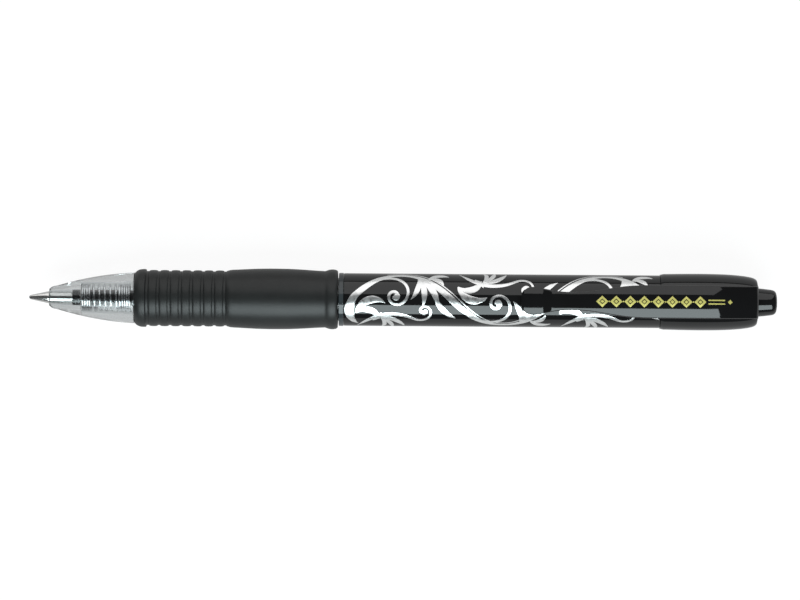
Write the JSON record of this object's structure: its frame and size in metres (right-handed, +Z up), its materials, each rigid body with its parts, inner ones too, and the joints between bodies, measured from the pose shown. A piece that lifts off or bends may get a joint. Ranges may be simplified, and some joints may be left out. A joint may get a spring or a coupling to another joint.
{
  "type": "gel pen",
  "caption": "Retractable gel pen with a push button, clear nose, grooved rubber grip, screw-together barrel, waisted clip and replaceable refill.",
  "frame": {"origin": "under the middle of the pen, on the surface that it lies on", "axes": "+X along the pen from the writing tip to the button; +Z up through the clip; +Y across the pen"},
  "size_m": [0.143, 0.0116, 0.0148],
  "materials": {
    "clear_smoke_plastic": "clear smoke-grey, polished",
    "grip_rubber": "matte black",
    "gloss_black_plastic": "high gloss black",
    "cam_plastic": "natural white",
    "spring_steel": "bright drawn wire",
    "carbide": "polished",
    "point_metal": "turned nickel silver",
    "holder_plastic": "satin black",
    "clear_tube_plastic": "clear",
    "gel_ink": "black gel",
    "follower_grease": "pale amber gel",
    "plug_plastic": "natural white",
    "silver_foil": "hot-stamped silver foil, part of the barrel's decoration",
    "gold_ink": "printed gold ornament on the clip"
  },
  "bodies": {
    "barrel": {"upper_barrel": "gloss_black_plastic", "rear_cap": "gloss_black_plastic"},
    "clip": {"clip": "gloss_black_plastic"},
    "button": {"push_button": "gloss_black_plastic"},
    "rotor": {"index_rotor": "cam_plastic"},
    "spring_seat": {"return_spring": "spring_steel"},
    "front_section": {"front_barrel": "clear_smoke_plastic", "grip_sleeve": "grip_rubber"},
    "refill": {"tip_point": "point_metal", "ball_seat_spring": "spring_steel", "tip_holder": "holder_plastic", "refill_tube": "clear_tube_plastic", "ink_column": "gel_ink", "ink_follower": "follower_grease", "tail_plug": "plug_plastic"},
    "ball": {"tip_ball": "carbide"}
  },
  "joints": [
    {"name": "clip_flex", "type": "hinge", "parent": "barrel", "child": "clip", "pos_m": [0.0675, 0, 0.01], "axis": [0, 1, 0], "range_deg": [0, 5], "stiffness_Nm_per_rad": 2},
    {"name": "button_press", "type": "slide", "parent": "barrel", "child": "button", "axis": [-1, 0, 0], "range_m": [-0.0058, 0.0012]},
    {"name": "rotor_index", "type": "hinge", "parent": "button", "child": "rotor", "pos_m": [0.043, 0, 0.0058], "axis": [1, 0, 0], "continuous": true},
    {"name": "front_section_advance", "type": "slide", "parent": "barrel", "child": "spring_seat", "axis": [-1, 0, 0], "range_m": [0, 0.0056]},
    {"name": "front_section_unscrew", "type": "hinge", "parent": "spring_seat", "child": "front_section", "pos_m": [-0.0075, 0, 0.0058], "axis": [-1, 0, 0], "range_deg": [0, 1260]},
    {"name": "refill_travel", "type": "slide", "parent": "spring_seat", "child": "refill", "axis": [-1, 0, 0], "range_m": [-0.0058, 0.0012], "deforming": ["return_spring"]},
    {"name": "ball_roll", "type": "hinge", "parent": "refill", "child": "ball", "pos_m": [-0.07115, 0, 0.0058], "axis": [0, 1, 0], "continuous": true}
  ],
  "couplings": [
    {"joint": "front_section_advance", "follows": "front_section_unscrew", "m_per_rad": 0.00025465},
    {"joint": "refill_travel", "follows": "button_press", "ratio": 1}
  ]
}
